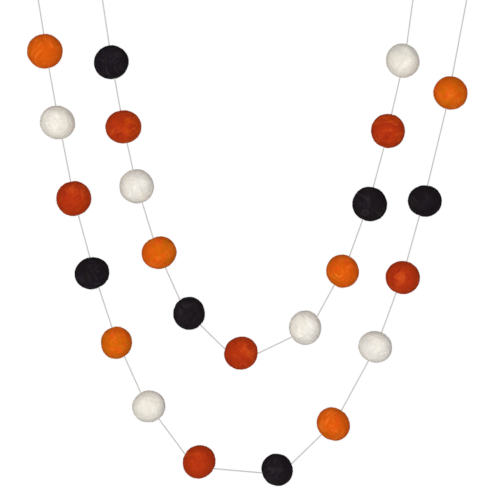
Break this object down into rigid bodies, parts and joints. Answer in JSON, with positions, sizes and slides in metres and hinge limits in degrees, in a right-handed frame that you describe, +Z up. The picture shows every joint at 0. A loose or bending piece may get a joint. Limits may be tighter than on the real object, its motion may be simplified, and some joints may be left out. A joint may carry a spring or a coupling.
{
  "type": "felt ball garland",
  "caption": "Felted wool balls in orange, white, rust and black, strung on a thin cotton thread that hangs in an outer and an inner swag.",
  "frame": {"origin": "top of the hanging loop at the left end of the outer swag", "axes": "+Z up, +X to the right seen from the front, +Y away from the viewer, through the balls"},
  "size_m": [0.3291, 0.0257, 0.3783],
  "materials": {
    "orange_felt": "matte wool felt, mottled",
    "white_felt": "matte wool felt, undyed",
    "rust_felt": "matte wool felt, mottled",
    "black_felt": "matte wool felt",
    "cotton_thread": "twisted, matte"
  },
  "bodies": {
    "root": {"ball_01_orange": "orange_felt", "ball_02_white": "white_felt", "ball_03_rust": "rust_felt", "ball_04_black": "black_felt", "ball_05_orange": "orange_felt", "ball_06_white": "white_felt", "ball_07_rust": "rust_felt", "ball_08_black": "black_felt", "ball_09_orange": "orange_felt", "ball_10_white": "white_felt", "ball_11_rust": "rust_felt", "ball_12_black": "black_felt", "ball_13_orange": "orange_felt", "ball_14_white": "white_felt", "ball_15_rust": "rust_felt", "ball_16_black": "black_felt", "ball_17_orange": "orange_felt", "ball_18_white": "white_felt", "ball_19_rust": "rust_felt", "ball_20_black": "black_felt", "ball_21_orange": "orange_felt", "ball_22_white": "white_felt", "ball_23_rust": "rust_felt", "ball_24_black": "black_felt", "thread": "cotton_thread"}
  },
  "joints": []
}
